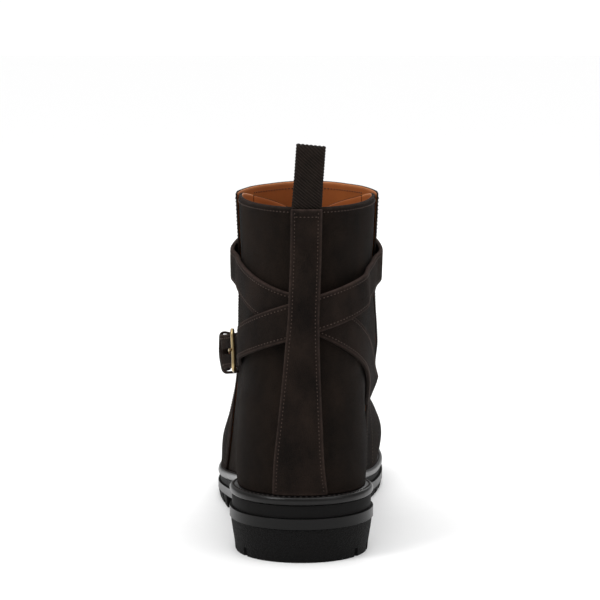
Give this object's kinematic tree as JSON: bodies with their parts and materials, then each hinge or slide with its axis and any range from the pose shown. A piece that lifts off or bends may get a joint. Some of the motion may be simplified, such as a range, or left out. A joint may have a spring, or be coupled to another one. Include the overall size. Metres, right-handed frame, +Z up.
{
  "type": "jodhpur boot",
  "caption": "ankle boot with a hollow upper, wrap strap crossing at the back under a backstay, side buckle, pull loop and a lugged rubber sole",
  "frame": {"origin": "on the floor, at the middle of the heel's flat rest", "axes": "+Y towards the toe, +Z up, +X towards the inner side of the foot"},
  "size_m": [0.0987, 0.2983, 0.2161],
  "materials": {
    "rubber": "matte moulded rubber",
    "midsole": "smooth dark recessed layer",
    "welt": "smooth glossy rand with a stitched top",
    "lining": "smooth tan lining leather",
    "suede": "dark brown suede with a soft nap",
    "webbing": "dark brown ribbed twill webbing",
    "brass": "antique gold plating"
  },
  "bodies": {
    "root": {"outsole": "rubber", "heel_block": "rubber", "midsole": "midsole", "welt": "welt", "insole": "lining", "upper": "suede", "backstay": "suede", "strap": "suede", "buckle_frame": "brass", "buckle_prong": "brass", "buckle_chape": "suede", "keeper": "suede", "pull_loop": "webbing"}
  },
  "joints": []
}
